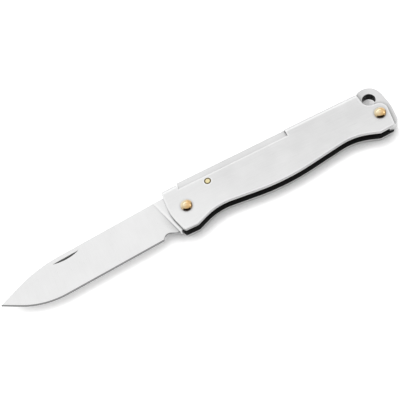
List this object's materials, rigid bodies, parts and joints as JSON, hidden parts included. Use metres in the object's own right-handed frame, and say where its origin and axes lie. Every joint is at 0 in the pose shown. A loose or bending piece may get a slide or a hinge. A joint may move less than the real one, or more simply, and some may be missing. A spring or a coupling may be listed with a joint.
{
  "type": "folding pocket knife",
  "caption": "Folding pocket knife: a drop-point blade turns on a riveted pivot in a folded sheet frame, held open and shut by a back spring with a lanyard lug.",
  "frame": {"origin": "on the surface that the knife lies on, under the middle of its outline with the blade open", "axes": "+X along the handle towards the lanyard lug, +Y towards the spine, +Z out of the front side"},
  "size_m": [0.1658, 0.0246, 0.0084],
  "materials": {
    "satin_steel": "fine satin",
    "spring_steel": "satin",
    "blade_steel": "fine satin grind",
    "rivet_brass": "polished",
    "bearing_bronze": "turned"
  },
  "bodies": {
    "handle": {"folded_frame": "satin_steel", "pivot_rivet": "rivet_brass", "tail_rivet": "rivet_brass", "stop_pin": "rivet_brass", "front_washer": "bearing_bronze", "rear_washer": "bearing_bronze"},
    "blade_body": {"blade": "blade_steel", "pivot_bushing": "bearing_bronze"},
    "spring_body": {"back_spring": "spring_steel"}
  },
  "joints": [
    {"name": "blade_pivot", "type": "hinge", "parent": "handle", "child": "blade_body", "pos_m": [-0.00442, -0.00136, 0.0037], "axis": [0, 0, 1], "range_deg": [0, 175], "deforming": ["back_spring"]},
    {"name": "spring_lift", "type": "hinge", "parent": "handle", "child": "spring_body", "pos_m": [0.07728, -0.00106, 0.0037], "axis": [0, 0, -1], "range_deg": [0, 0.7], "stiffness_Nm_per_rad": 205}
  ]
}
